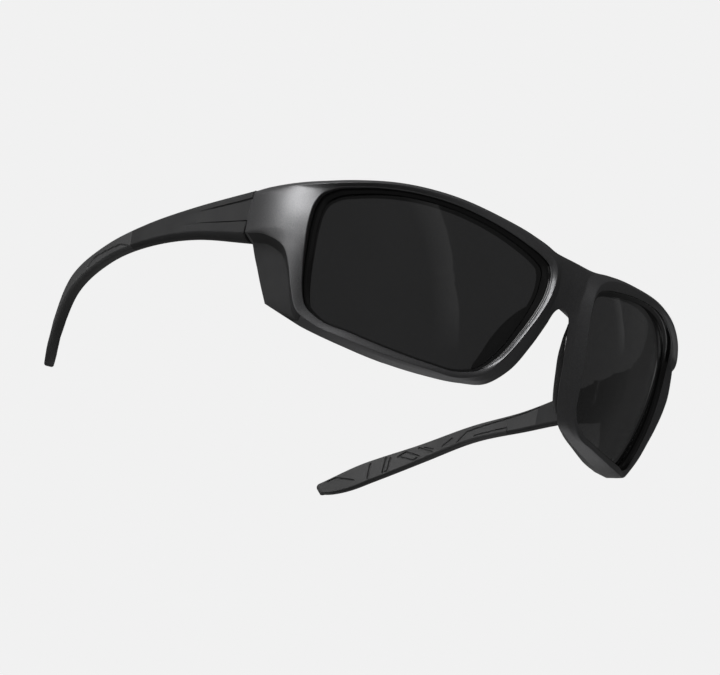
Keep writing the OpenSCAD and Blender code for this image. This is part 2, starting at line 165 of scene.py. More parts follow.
OUTER_EDGE = [
    (0, 1.6, -0.8), (0, 7.6, -1), (6.6, 7.9, -1.6), (14.6, 9.4, -2), (25.2, 10.8, -2),
    (40, 11.9, -1.6), (53.6, 11.3, -1.2), (64.5, 9.4, -0.8), (74, 7.2, -0.4), (84, 5.9, -1),
    (SEAM_U, 5.3, -2), (SEAM_U, -1, -2), (SEAM_U, -8.2, -3.2), (91.9, -11.5, -3.2),
    (90, -15.6, -3.2), (88, -19.8, -3.2), (86.1, -23.6, -3.2), (79, -26.1, -3),
    (68.6, -29.2, -2.6), (58, -31.3, -2.4), (45.3, -32.7, -2.6), (32.8, -32.7, -3),
    (22.2, -31.7, -3), (14, -29.6, -2.4), (9.35, -24.8, -1.9), (6.05, -17.3, -1.8),
    (3.85, -10.9, -1.8), (2.2, -6.3, -1.7), (0, -4.5, -1.6)]
OUTER_CORNERS = (1, 10, 12, 16, 28)
END_CORNERS = (10, 12)
BACK_SHIFT = [
    (0, 0), (0, 0), (0, -0.4), (0, -0.7), (0, -0.7), (0, -0.7), (0, -0.7), (0, -0.7), (0, -0.7),
    (0, -0.4), (0, 0), (0, 0), (0, 0), (0, 0), (0, 0), (0, 0), (0, 0), (0, 0.4),
    (0, 0.8), (0, 0.9), (0.5, 0.9), (1.2, 1.1), (2.3, 1.2), (5, 1.4),
    (5.5, 0.6), (5.5, 0.6), (5.4, 0.7), (5.2, 1.8), (0, 1)]
RIM_DEPTH = 6
SHIELD_BACK = 4.9
END_DEPTH = 4.8
BACK_DEPTH = ([RIM_DEPTH] * 9 + [5.4] + [END_DEPTH] * 3 + [SHIELD_BACK] * 4 + [SHIELD_BACK + 0.4]
              + [RIM_DEPTH] * 5 + [6.2, 6.9, 7.1, 7.1, 6.8, RIM_DEPTH])
LEDGE_WIDTH = [
    1.7, 1.6, 1.4, 1.1, 0.9, 0.8, 0.75, 0.8, 1, 1.3, 1.4, 1.4, 1.4, 1.4, 1.5, 1.6, 1.5, 1.2,
    0.8, 0.75, 0.75, 0.75, 0.75, 0.8, 1, 1.2, 1.5, 1.8, 1.9]
FACE_CROWN = [0.1] * 8 + [0.25, 0.6, 0.9, 0.9, 0.9, 0.5, 0.2] + [0.1] * 14
LENS_RECESS = 1.75
LENS_THICKNESS = 2.3
LENS_EDGE_IN = 0.5
GROOVE_IN = 0.4
LIP_IN = 1.1
LENS_GAP = 0.05
LENS_MIDDLE = np.array([40, -10.5])

opening = smooth_loop(OPENING)
face_edge = smooth_loop(FACE_EDGE, END_CORNERS)
face_foot = smooth_loop(FACE_FOOT, END_CORNERS)
outer_edge = smooth_loop(OUTER_EDGE, OUTER_CORNERS)
back_shift = along(BACK_SHIFT)
back_depth = along(BACK_DEPTH)
back_edge = np.column_stack([outer_edge[:, :2] + back_shift, -back_depth])
ledge_width = along(LEDGE_WIDTH)
face_crown = along(FACE_CROWN)
STATIONS = len(opening)


def inside(distance, w):
    """The lens opening moved inwards by a distance, at depth w."""
    t = np.roll(opening, -1, 0) - np.roll(opening, 1, 0)
    n = np.stack([-t[:, 1], t[:, 0]], -1) / np.hypot(t[:, 0], t[:, 1])[:, None]
    distance = np.broadcast_to(distance, (STATIONS,))
    p = opening[:, :2] - n * distance[:, None]
    return np.column_stack([p, np.broadcast_to(w, (STATIONS,))])


def mix(a, b, f):
    return a * (1 - f) + b * f


def round_corner(before, corner, after, size, count=4):
    """Rows of points that round a corner between two neighbours."""
    def towards(other):
        step = other - corner
        length = np.linalg.norm(step, axis=-1, keepdims=True)
        return corner + step * np.minimum(size / np.maximum(length, 1e-6), 0.45)

    a, b = towards(before), towards(after)
    return [(1 - f) ** 2 * a + 2 * f * (1 - f) * corner + f ** 2 * b
            for f in np.linspace(0, 1, count)]


# ---- mesh helpers -------------------------------------------------------------------------

SCREW_TOP = 2.0
BARREL_RADIUS = 1.9
BARREL_GAP = 0.35
BARREL_AHEAD = 1.7
barrel_at = wrap((SEAM_U, 0, 0)) + np.array([-END_DEPTH - BARREL_RADIUS - BARREL_GAP,
                                             BARREL_AHEAD, 0])
screw_low, screw_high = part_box("left_hinge_screw")
# The CAD part stands on z = 0 with its middle over the origin: the step that took it there.
STAND = np.array([0,
                  (screw_low.y + screw_high.y) / 2 / MM - barrel_at[1],
                  screw_high.z / MM - SCREW_TOP])


def grid_faces(rows, columns, around=True, closed=False):
    """Quads over a grid of points, wrapped round its columns and, if closed, its rows."""
    faces = []
    for i in range(rows if closed else rows - 1):
        a, b = i * columns, ((i + 1) % rows) * columns
        for k in range(columns if around else columns - 1):
            k2 = (k + 1) % columns
            faces.append((a + k, a + k2, b + k2, b + k))
    return faces


def capped_faces(rows, columns):
    """Faces of a row of closed sections with a fan at each end, for two more points."""
    faces = grid_faces(rows, columns)
    first, last = rows * columns, rows * columns + 1
    for k in range(columns):
        k2 = (k + 1) % columns
        faces.append((first, k2, k))
        faces.append((last, (rows - 1) * columns + k, (rows - 1) * columns + k2))
    return faces


def capped_points(sections):
    """The points of a row of closed sections and the middle of each end."""
    p = sections.reshape(-1, 3)
    return np.vstack([p, sections[0].mean(0), sections[-1].mean(0)])


def make_mesh(name, points, faces, side=1, smooth_angle=35, marks=None):
    """A mesh object from points in millimetres, mirrored where side is -1."""
    p = (np.asarray(points, float) + STAND) * MM
    p[:, 0] *= side
    if side < 0:
        faces = [f[::-1] for f in faces]
    mesh = bpy.data.meshes.new(name)
    mesh.from_pydata([tuple(q) for q in p], [], faces)
    if marks:
        mesh.polygons.foreach_set("material_index", marks)
    clean(mesh, smooth_angle)
    return link_object(name, mesh)


def clean(mesh, smooth_angle, then=None):
    """Joins points that fall together, turns every face outwards and shades it smooth."""
    bm = bmesh.new()
    bm.from_mesh(mesh)
    bmesh.ops.remove_doubles(bm, verts=bm.verts, dist=2e-6)
    bmesh.ops.dissolve_degenerate(bm, edges=bm.edges, dist=1e-7)
    bmesh.ops.recalc_face_normals(bm, faces=bm.faces)
    if then:
        then(bm)
    bm.to_mesh(mesh)
    bm.free()
    mesh.shade_smooth()
    mesh.set_sharp_from_angle(angle=math.radians(smooth_angle))


def link_object(name, data):
    """Puts a mesh, a camera or a light into the scene."""
    thing = bpy.data.objects.new(name, data)
    bpy.context.scene.collection.objects.link(thing)
    return thing


def finish_piece(piece, body, slot, materials, *nodes):
    """Gives a piece its materials and body, and hides the CAD nodes it stands for."""
    for material in materials:
        piece.data.materials.append(material)
    modifier = piece.modifiers.new("normals", "WEIGHTED_NORMAL")
    modifier.keep_sharp = True
    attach(piece, body)
    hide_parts(*nodes)
    return piece


# ---- materials ----------------------------------------------------------------------------

def new_material(name):
    material = bpy.data.materials.new(name)
    material.use_nodes = True
    nodes, links = material.node_tree.nodes, material.node_tree.links
    return material, nodes, links, nodes["Principled BSDF"]


def noise(nodes, links, scale, detail=2.0, roughness=0.5):
    """A noise pattern over the object's own space."""
    coordinates = nodes.new("ShaderNodeTexCoord")
    pattern = nodes.new("ShaderNodeTexNoise")
    pattern.inputs["Scale"].default_value = scale
    pattern.inputs["Detail"].default_value = detail
    pattern.inputs["Roughness"].default_value = roughness
    links.new(coordinates.outputs["Object"], pattern.inputs["Vector"])
    return pattern.outputs["Fac"]


def cells(nodes, links, scale, feature="F1"):
    """A cell pattern over the object's own space."""
    coordinates = nodes.new("ShaderNodeTexCoord")
    pattern = nodes.new("ShaderNodeTexVoronoi")
    pattern.feature = feature
    pattern.inputs["Scale"].default_value = scale
    links.new(coordinates.outputs["Object"], pattern.inputs["Vector"])
    return pattern


def ramp(nodes, links, value, low, high, span=(0.0, 1.0)):
    """A value or colour that runs from low to high as a pattern crosses a span."""
    node = nodes.new("ShaderNodeMapRange")
    node.inputs["From Min"].default_value, node.inputs["From Max"].default_value = span
    links.new(value, node.inputs["Value"])
    if isinstance(low, tuple):
        blend = nodes.new("ShaderNodeMix")
        blend.data_type = "RGBA"
        blend.inputs[6].default_value = (*low, 1)
        blend.inputs[7].default_value = (*high, 1)
        links.new(node.outputs["Result"], blend.inputs[0])
        return blend.outputs[2]
    node.inputs["To Min"].default_value = low
    node.inputs["To Max"].default_value = high
    return node.outputs["Result"]


def bump(nodes, links, shader, height, strength, distance):
    node = nodes.new("ShaderNodeBump")
    node.inputs["Strength"].default_value = strength
    node.inputs["Distance"].default_value = distance
    links.new(height, node.inputs["Height"])
    links.new(node.outputs["Normal"], shader.inputs["Normal"])


def metallic_paint():
    """Dark gunmetal paint with fine flakes and a satin finish."""
    material, nodes, links, shader = new_material("gunmetal_paint")
    shader.inputs["Metallic"].default_value = 0.9
    shader.inputs["Specular IOR Level"].default_value = 0.25
    flakes = cells(nodes, links, 9000)
    tone = nodes.new("ShaderNodeSeparateColor")
    links.new(flakes.outputs["Color"], tone.inputs["Color"])
    colour = ramp(nodes, links, tone.outputs[0], (0.115, 0.115, 0.118), (0.165, 0.165, 0.168))
    links.new(colour, shader.inputs["Base Color"])
    links.new(ramp(nodes, links, tone.outputs[1], 0.44, 0.5), shader.inputs["Roughness"])
    bump(nodes, links, shader, flakes.outputs["Distance"], 0.1, 0.00003)
    return material


def satin_black():
    """Black moulded plastic with a fine satin grain, on the arms and the side shields."""
    material, nodes, links, shader = new_material("satin_black")
    shader.inputs["Specular IOR Level"].default_value = 0.15
    grain = noise(nodes, links, 3500, 2, 0.6)
    broad = noise(nodes, links, 120, 2)
    colour = ramp(nodes, links, broad, (0.023, 0.023, 0.0235), (0.030, 0.030, 0.0305), (0.3, 0.7))
    links.new(colour, shader.inputs["Base Color"])
    links.new(ramp(nodes, links, grain, 0.52, 0.62), shader.inputs["Roughness"])
    bump(nodes, links, shader, grain, 0.08, 0.00004)
    return material


def gloss_black():
    """The smooth black ledge round each lens."""
    material, nodes, links, shader = new_material("gloss_black")
    shader.inputs["Specular IOR Level"].default_value = 0.35
    speck = noise(nodes, links, 900, 2)
    colour = ramp(nodes, links, speck, (0.004, 0.004, 0.004), (0.007, 0.007, 0.0072))
    links.new(colour, shader.inputs["Base Color"])
    links.new(ramp(nodes, links, speck, 0.16, 0.24), shader.inputs["Roughness"])
    bump(nodes, links, shader, noise(nodes, links, 160, 1), 0.03, 0.0002)
    return material


def smoke_lens():
    """Polished polycarbonate with a very dark neutral tint."""
    material, nodes, links, shader = new_material("smoke_polycarbonate")
    shader.inputs["Transmission Weight"].default_value = 1.0
    shader.inputs["IOR"].default_value = 1.58
    haze = noise(nodes, links, 35, 2)
    colour = ramp(nodes, links, haze, (0.0135, 0.0135, 0.0138), (0.0155, 0.0155, 0.0158),
                  (0.3, 0.7))
    links.new(colour, shader.inputs["Base Color"])
    fine = noise(nodes, links, 1500, 2)
    links.new(ramp(nodes, links, fine, 0.015, 0.035), shader.inputs["Roughness"])
    return material


def soft_rubber():
    """Black soft-touch elastomer with a fine moulded grain."""
    material, nodes, links, shader = new_material("soft_rubber")
    shader.inputs["Specular IOR Level"].default_value = 0.25
    grain = noise(nodes, links, 2600, 3, 0.6)
    broad = noise(nodes, links, 90, 2)
    colour = ramp(nodes, links, broad, (0.037, 0.037, 0.0375), (0.047, 0.047, 0.0475), (0.3, 0.7))
    links.new(colour, shader.inputs["Base Color"])
    links.new(ramp(nodes, links, grain, 0.5, 0.68), shader.inputs["Roughness"])
    bump(nodes, links, shader, grain, 0.35, 0.00006)
    return material


def brushed_steel(name, low, high):
    """Stainless steel with fine drawn lines, darkened on the hinge leaves as painted shade."""
    material, nodes, links, shader = new_material(name)
    shader.inputs["Metallic"].default_value = 1.0
    coordinates = nodes.new("ShaderNodeTexCoord")
    stretch = nodes.new("ShaderNodeMapping")
    stretch.inputs["Scale"].default_value = (3000, 3000, 260)
    lines = nodes.new("ShaderNodeTexNoise")
    lines.inputs["Scale"].default_value = 1.0
    links.new(coordinates.outputs["Object"], stretch.inputs["Vector"])
    links.new(stretch.outputs["Vector"], lines.inputs["Vector"])
    links.new(ramp(nodes, links, lines.outputs["Fac"], low, high, (0.3, 0.7)),
              shader.inputs["Base Color"])
    links.new(ramp(nodes, links, lines.outputs["Fac"], 0.25, 0.42), shader.inputs["Roughness"])
    bump(nodes, links, shader, lines.outputs["Fac"], 0.15, 0.00004)
    return material


paint = metallic_paint()
satin = satin_black()
ledge_black = gloss_black()
lens_tint = smoke_lens()
rubber = soft_rubber()
# the hinge leaves' steel is near black: painted shade for the dark inside of the hinge
shade_darkened_leaf_steel = brushed_steel("shade_darkened_leaf_steel", (0.05, 0.05, 0.052), (0.08, 0.08, 0.083))
screw_steel = brushed_steel("screw_steel", (0.45, 0.45, 0.46), (0.6, 0.6, 0.61))

# ---- the front ----------------------------------------------------------------------------

WALL_TOP = 0.3
PAINT_LOW = 0.4
PAINT_LINE = 0.07
LEDGE_W = -1.5
WALL_FOOT_W = -0.85
LEDGE_ROUND = 0.9
FACE_ROUND = 0.28
FOOT_ROUND = 0.3
FACE_END = 0.9
FACE_ROWS = 10
PAINT, BLACK, SATIN = 0, 1, 2
SHIELD_STATIONS = (12.05, 17.3)
FLANK_STRIPS = -9  # the flank's first strip, counted from the outer edge
EDGE_ROUND = 0.35
BEVEL_ANGLE = math.radians(20)


def front_sections():
    """Closed sections round a lens, as rows (station, point, uvw), with each strip's material."""
    high = opening[:, 2]
    groove_back = -LENS_RECESS - LENS_THICKNESS - LENS_GAP
    ledge_in = inside(ledge_width, LEDGE_W)
    wall_foot = inside(0, WALL_FOOT_W)
    paint_foot = inside(0, np.minimum(PAINT_LOW, high - 0.35))
    face_in = inside(-WALL_TOP, high)
    lip = inside(LIP_IN, 0.4 - RIM_DEPTH)
    rows, paints = [], []

    def add(points, paint_index):
        rows.extend(points)
        paints.extend([paint_index] * len(points))

    add([ledge_in], BLACK)
    add(round_corner(ledge_in, wall_foot, paint_foot, LEDGE_ROUND, 5), BLACK)
    add([paint_foot], BLACK)
    add([paint_foot + [0, 0, PAINT_LINE]], PAINT)
    turn = np.radians([0, 30, 60])
    add([inside(WALL_TOP * (math.cos(a) - 1), high - WALL_TOP * (1 - math.sin(a)))
         for a in turn], PAINT)
    crown = np.array([0, 0, 1]) * face_crown[:, None]

    def face_at(f):
        return mix(face_in, face_edge, f) + crown * 4 * f * (1 - f)

    add([face_at(f) for f in np.linspace(0, FACE_END, FACE_ROWS)], PAINT)
    add(round_corner(face_at(FACE_END), face_edge, face_foot, FACE_ROUND), PAINT)
    add(round_corner(face_edge, face_foot, outer_edge, FOOT_ROUND), PAINT)
    add([mix(face_foot, outer_edge, f) for f in (0.35, 0.6, 0.8)], PAINT)
    outer_index = len(rows)
    add([outer_edge] + [mix(outer_edge, back_edge, f) for f in (0.2, 0.5, 0.8)], PAINT)
    back_index = len(rows)
    add([mix(back_edge, lip, f) for f in (0, 0.15, 0.4, 0.7, 0.9, 1)], SATIN)
    add([inside(LIP_IN, groove_back), inside(GROOVE_IN, groove_back),
         inside(GROOVE_IN, LENS_GAP - LENS_RECESS),
         inside(ledge_width, LENS_GAP - LENS_RECESS)], BLACK)
    return np.stack(rows, 1), paints, outer_index, back_index


def on_shield(row):
    """Whether a row of the front lies along the side shield under the temple."""
    return SHIELD_STATIONS[0] * STEPS <= row < SHIELD_STATIONS[1] * STEPS


def weight_edges(bm):
    """Marks the sharp edges between marked points for the bevel."""
    mark = bm.verts.layers.float["rounding"]
    weight = bm.edges.layers.float.new("bevel_weight_edge")
    for edge in bm.edges:
        ends = [v[mark] for v in edge.verts]
        if min(ends) > 0.5 and edge.is_manifold and edge.calc_face_angle(0) > BEVEL_ANGLE:
            edge[weight] = 1


def make_front():
    """The painted front: half of it as sections round a lens, and the same mirrored."""
    sections, paints, outer_index, back_index = front_sections()
    rows, columns = sections.shape[:2]
    half = (wrap(sections.reshape(-1, 3)) + STAND) * MM
    on_middle = np.abs(sections.reshape(-1, 3)[:, 0]) < 1e-6
    faces, marks = [], []
    for number, f in enumerate(grid_faces(rows, columns, closed=True)):
        if not all(on_middle[i] for i in f):
            faces.append(f)
            row, column = divmod(number, columns)
            shield = FLANK_STRIPS <= column - outer_index and column < back_index and on_shield(row)
            marks.append(SATIN if shield else paints[column])
    mirrored = half * np.array([-1, 1, 1])
    count = len(half)
    mesh = bpy.data.meshes.new("front_frame_shell")
    mesh.from_pydata([tuple(p) for p in np.vstack([half, mirrored])], [],
                     faces + [tuple(i + count for i in f[::-1]) for f in faces])
    mesh.polygons.foreach_set("material_index", marks + marks)
    rounding = mesh.attributes.new("rounding", "FLOAT", "POINT")
    strength = np.zeros((rows, columns))
    strength[:, outer_index] = 1
    strength[:, back_index] = 1
    rounding.data.foreach_set("value", np.tile(strength.ravel(), 2))
    clean(mesh, 32, weight_edges)
    piece = link_object("front_frame_shell", mesh)
    bevel = piece.modifiers.new("edges", "BEVEL")
    bevel.limit_method = "WEIGHT"
    bevel.width = EDGE_ROUND * MM
    bevel.segments = 3
    return finish_piece(piece, "front", "frame_paint", [paint, ledge_black, satin], "front_frame")


# ---- lenses -------------------------------------------------------------------------------

def make_lens(side, node):
    """A curved lens of even thickness, with its rim in the front's groove."""
    front, back = -LENS_RECESS, -LENS_RECESS - LENS_THICKNESS
    spread = [0.04, 0.12, 0.25, 0.4, 0.55, 0.7, 0.82, 0.92, 0.985]

    def ring(f, w, shrink=0.0):
        p = inside(LENS_EDGE_IN + shrink, w)
        p[:, :2] = mix(LENS_MIDDLE, p[:, :2], f)
        return p

    rings = [ring(f, front) for f in spread]
    rings += [ring(1, front, 0.1), ring(1, front - 0.12), ring(1, back + 0.12), ring(1, back, 0.1)]
    rings += [ring(f, back) for f in spread[::-1]]
    sections = wrap(np.stack(rings))
    piece = make_mesh(node + "_shell", capped_points(sections),
                      capped_faces(len(rings), STATIONS), side, 40)
    return finish_piece(piece, "front", "lens", [lens_tint], node)


# ---- nose pads ----------------------------------------------------------------------------

PAD_FIRST = 23.3
PAD_LAST = 26.7
PAD_ROWS = 48
# how far behind the face's edge a pad starts, and how far it stands off the wall
PAD_LEAD = 1.6
PAD_OFF = 0.12
# thickness, and reach behind the frame, along a pad from its lower end
PAD_THICKNESS = [0.1, 0.6, 1.1, 1.6, 1.9, 1.8, 1.3, 0.7, 0.1]
PAD_REACH = [2.0, 3.0, 3.6, 4.0, 4.1, 3.8, 3.0, 1.8, 0.6]


def make_nose_pad(side, node):
    """A soft wing on the nose wall, thickest along its middle and thin at its ends."""
    place = np.linspace(PAD_FIRST, PAD_LAST, PAD_ROWS) * STEPS
    station = np.arange(STATIONS)

    def read(table):
        return np.column_stack([np.interp(place, station, table[:, c]) for c in range(3)])

    def spread(values):
        knots = np.linspace(0, 1, len(values))
        fine = np.linspace(0, 1, 200)
        even = np.convolve(np.pad(np.interp(fine, knots, values), 10, "edge"),
                           np.ones(21) / 21, "valid")
        return np.interp(t, fine, even)

    t = np.linspace(0, 1, PAD_ROWS)
    wall_front = read(outer_edge)
    wall_back = read(back_edge)
    run = wall_back - wall_front
    run /= np.linalg.norm(run, axis=1)[:, None]
    out = np.column_stack([run[:, 2], np.zeros(PAD_ROWS), -run[:, 0]])
    full = np.sqrt(np.clip(1 - (2 * t - 1) ** 6, 0, 1))
    low = wall_front + run * PAD_LEAD + out * PAD_OFF
    high = wall_back + run * spread(PAD_REACH)[:, None] + out * PAD_OFF
    middle, half_width = (low + high) / 2, (high - low) / 2 * (0.4 + 0.6 * full[:, None])
    thickness = spread(PAD_THICKNESS)
    around = np.radians(np.arange(0, 360, 12))
    side_way = np.sign(np.cos(around)) * np.abs(np.cos(around)) ** 0.7
    sections = []
    for i in range(PAD_ROWS):
        rise = np.clip(np.sin(around), 0, None) ** 0.6 * thickness[i]
        rise = rise * (0.8 - 0.3 * np.cos(around))
        sections.append(middle[i] + side_way[:, None] * half_width[i] + rise[:, None] * out[i])
    sections = wrap(np.array(sections))
    piece = make_mesh(node + "_shell", capped_points(sections),
                      capped_faces(PAD_ROWS, len(around)), side, 60)
    return finish_piece(piece, "front", "soft_pad", [rubber], node)


# ---- temples ------------------------------------------------------------------------------

seam_point = wrap((SEAM_U, 0, 0))
# x, y, z, height, thickness, lean of the section in degrees, bevel scale
TEMPLE_ROWS = np.array([
    (seam_point[0], seam_point[1], -1.45, 13.4, END_DEPTH, -1.1, 1),
    (70.3, 70.3, -2.0, 8.2, 3.7, 1, 0.7),
    (70.9, 88.4, -4.0, 5.6, 3.1, 6, 0.5),
    (69.1, 106, -6.9, 4.5, 3, 15, 0.4),
    (65.8, 121.7, -12.5, 4.8, 2.9, 26, 0.35),
    (58.3, 135.5, -20.5, 5.8, 2.9, 35, 0.35),
    (51.6, 144.4, -27.8, 5, 2.7, 42, 0.35)])
TIP_ROW = 2.3
LAST_ROW = 6
SEAM_GAP = 0.28
SEAM_RISE = 0.22
# the long shallow recess on the outer face, with a slit along its lower edge
WEDGE_DEPTH = 0.4
WEDGE_SLIT = 0.3
WEDGE_END = 1.25
WEDGE_ROWS = 70
# where the soft inlay starts on the inner face
INLAY_FROM = 1.63
TIP_ROUND_FROM = 5.2
TIP_ROUND_RUN = 0.82


def temple_at(s):
    """The temple's rows blended at a place s, counted in rows."""
    last = len(TEMPLE_ROWS) - 1
    i = min(max(int(math.floor(s)), 0), last - 1)
    a, p = TEMPLE_ROWS[max(i - 1, 0)], TEMPLE_ROWS[i]
    q, b = TEMPLE_ROWS[i + 1], TEMPLE_ROWS[min(i + 2, last)]
    m0 = q - p if i == 0 else (q - a) / 2
    m1 = q - p if i == last - 1 else (b - p) / 2
    return hermite(p, m0, q, m1, s - i)


def temple_axes(s):
    """The section's middle and its out, up and run directions."""
    row, step = temple_at(s), temple_at(s + 0.02) - temple_at(s - 0.02)
    run = step[:2] / np.linalg.norm(step[:2])
    lean = math.radians(row[5])
    out = np.array([run[1], -run[0], 0])
    up = np.array([run[0] * math.sin(lean), run[1] * math.sin(lean), math.cos(lean)])
    ahead = np.array([run[0] * math.cos(lean), run[1] * math.cos(lean), -math.sin(lean)])
    return row, out, up, ahead


TEMPLE_LENGTHS = np.linspace(0, LAST_ROW, 601)
temple_line = np.array([temple_at(s)[:3] for s in TEMPLE_LENGTHS])
temple_run = np.concatenate([[0], np.cumsum(np.linalg.norm(np.diff(temple_line, axis=0), axis=1))])


def run_at(s):
    """The distance along the temple at a place s."""
    return np.interp(s, TEMPLE_LENGTHS, temple_run)


def place_at(distance):
    return np.interp(distance, temple_run, TEMPLE_LENGTHS)


def smooth_step(x):
    x = np.clip(x, 0, 1)
    return x * x * (3 - 2 * x)


def round_profile(points, sizes, count=3):
    """A closed flat profile with its corners rounded."""
    found = []
    total = len(points)
    for i in range(total):
        before, corner, after = points[i - 1], points[i], points[(i + 1) % total]
        if sizes[i] == 0:
            found.append(corner)
        else:
            found.extend(round_corner(before, corner, after, sizes[i], count))
    return np.array(found)


def temple_profile(s, outer_grid, inner_grid):
    """The section's profile (out, up) at a place s, with evenly spaced faces for grooves."""
    row = temple_at(s)
    h, t, c = row[3] / 2, row[4], row[6]
    fade = smooth_step((WEDGE_END - s) / 0.9)
    depth, slit = WEDGE_DEPTH * fade, (WEDGE_DEPTH + WEDGE_SLIT) * fade
    top = h * mix(0.66, 0.5, min(s / WEDGE_END, 1))
    bottom = -h * 0.31
    face_top, face_low = h - 1.1 * c, -h + 1.6 * c
    if s > WEDGE_END:
        face = [(0, mix(face_top, face_low, f)) for f in outer_grid]
    else:
        face = [(0, top + 0.1), (-depth, top - 0.1), (-depth, mix(top, bottom, 0.5)),
                (-depth, bottom + 0.55), (-slit, bottom + 0.4), (-slit, bottom + 0.1), (0, bottom)]
    inner = [(-t, mix(-h + 0.5, h - 0.5, f)) for f in inner_grid]
    points = np.array([(-0.7 * c, h), (0, face_top), *face, (0, face_low),
                       (-1.2 * c, -h + 0.6 * c), (-2.6 * c, -h), (-t + 0.5, -h),
                       (-t, -h + 0.5), *inner, (-t, h - 0.5), (-t + 0.5, h)])
    sizes = [0.3, 0.2, *[0.0] * len(face), 0.25, 0.5, 0.4, 0.2, 0.2,
             *[0.0] * len(inner), 0.2, 0.2]
    return round_profile(points, sizes)


def groove_depth(where, lines, width, depth):
    """How deep the grooves along some lines are at points (along, up)."""
    found = np.zeros(len(where))
    for line in lines:
        for a, b in zip(line[:-1], line[1:]):
            step = b - a
            f = np.clip(((where - a) @ step) / (step @ step), 0, 1)
            away = np.linalg.norm(where - a - f[:, None] * step, axis=1)
            found = np.maximum(found, smooth_step((width - away) / (0.45 * width)))
    return found * depth


# Grooves on the inner face as (place s, share of the half height), and on the outer face.
INNER_LINES = [
    [(1.62, 0.74), (2.25, 0.58), (2.75, 0.4), (3.1, 0.25), (3.3, -0.65)],
    [(2.96, -0.58), (2.31, -0.46), (2.23, -1.1)],
    [(3.6, -0.4), (3.4, 0.1)],
    [(4.05, 0.5), (3.83, -0.6)],
    [(3.95, 0.3), (3.8, -0.3)],
    [(4.42, 0.35), (4.2, -0.68), (4.09, -0.45), (4.28, 0.57), (4.42, 0.35)],
    [(4.6, 0.7), (4.74, -0.7), (4.66, -0.72), (4.54, 0.5)],
    [(4.87, 0.6), (5.02, -0.7)],
    [(5.8, 0.7), (5.62, 0.7), (5.3, -0.3)]]
OUTER_LINES = [[(2.3, -0.9), (2.57, -0.2), (3.3, 0.2), (3.45, -0.4)]]
GROOVE_WIDTH = 0.3
GROOVE_DEPTH = 0.34


def groove_lines(lines):
    """Groove lines in millimetres: distance along the temple, height above its middle."""
    return [np.array([(run_at(s), q * temple_at(s)[3] / 2) for s, q in line]) for line in lines]


inner_grooves = groove_lines(INNER_LINES)
outer_grooves = groove_lines(OUTER_LINES)


def under_side(s):
    """How far the under side still reaches, where the end is rounded off from below."""
    if s < TIP_ROUND_FROM:
        return 1
    return math.sqrt(1 - ((s - TIP_ROUND_FROM) / TIP_ROUND_RUN) ** 2)


def temple_section(s, profile, shift=0.0, wide=1.0, tall=1.0, low=1.0):
    """A profile placed on the temple, with its grooves sunk in."""
    row, out, up, ahead = temple_axes(s)
    h, t = row[3] / 2, row[4]
    p, q = profile[:, 0].copy(), profile[:, 1].copy()
    where = np.column_stack([np.full(len(q), run_at(s)), q])
    on_inner, on_outer = p < -t + 0.01, (p > -0.01) & (np.abs(q) < h)
    p[on_inner] += groove_depth(where[on_inner], inner_grooves, GROOVE_WIDTH, GROOVE_DEPTH)
    p[on_outer] -= groove_depth(where[on_outer], outer_grooves, GROOVE_WIDTH, GROOVE_DEPTH)
    p = (p + t / 2) * wide - t / 2
    q = q * tall * np.where(q < 0, low * under_side(s), 1)
    return row[:3] + p[:, None] * out + q[:, None] * up + shift * ahead


FINE_STEP = 0.17
PLAIN_GRID = (0.05, 0.2, 0.35, 0.5, 0.65, 0.8, 0.95)
OUTER_GRID = np.linspace(0.04, 0.96, 14)
INNER_GRID = np.linspace(0.03, 0.97, 24)
# width and height of the stepped-in sections where two pieces meet
SEAM_STEP = (0.93, 0.965)
TIP_STEP = (0.95, 0.97)


def make_temple(side, node, body):
    """The satin arm, from the seam to the soft tip, with its recess and its soft inlay."""
    coarse = np.linspace(0.02, WEDGE_END, WEDGE_ROWS)
    fine = place_at(np.arange(run_at(WEDGE_END) + FINE_STEP, run_at(TIP_ROW), FINE_STEP))
    first = temple_profile(0, PLAIN_GRID, INNER_GRID)
    end = temple_profile(TIP_ROW, PLAIN_GRID, INNER_GRID)
    places = [*coarse[1:], *fine]
    rows = [temple_section(0, first, SEAM_GAP, *SEAM_STEP),
            temple_section(0, first, SEAM_GAP + SEAM_RISE)]
    rows += [temple_section(s, temple_profile(s, PLAIN_GRID, INNER_GRID)) for s in places]
    rows += [temple_section(TIP_ROW, end, -0.1), temple_section(TIP_ROW, end, 0, *TIP_STEP)]
    sections = np.array(rows)
    columns = sections.shape[1]
    faces = capped_faces(len(rows), columns)
    soft_row = [False, False, *[s > INLAY_FROM for s in places], True]
    soft_point = first[:, 0] < 0.01 - TEMPLE_ROWS[0][4]
    soft_strip = soft_point & np.roll(soft_point, -1)
    marks = [int(row and strip) for row in soft_row for strip in soft_strip]
    marks += [0] * (len(faces) - len(marks))
    piece = make_mesh(node + "_shell", capped_points(sections), faces, side, marks=marks)
    return finish_piece(piece, body, "temple_paint", [satin, rubber], node)


# shift, width, height and under side of the last sections
TIP_END = [
    (0.25, 0.98, 0.98, 0.9), (0.5, 0.94, 0.94, 0.74), (0.72, 0.87, 0.89, 0.55),
    (0.9, 0.78, 0.82, 0.32), (1.02, 0.67, 0.73, 0.15), (1.1, 0.55, 0.6, 0.05)]


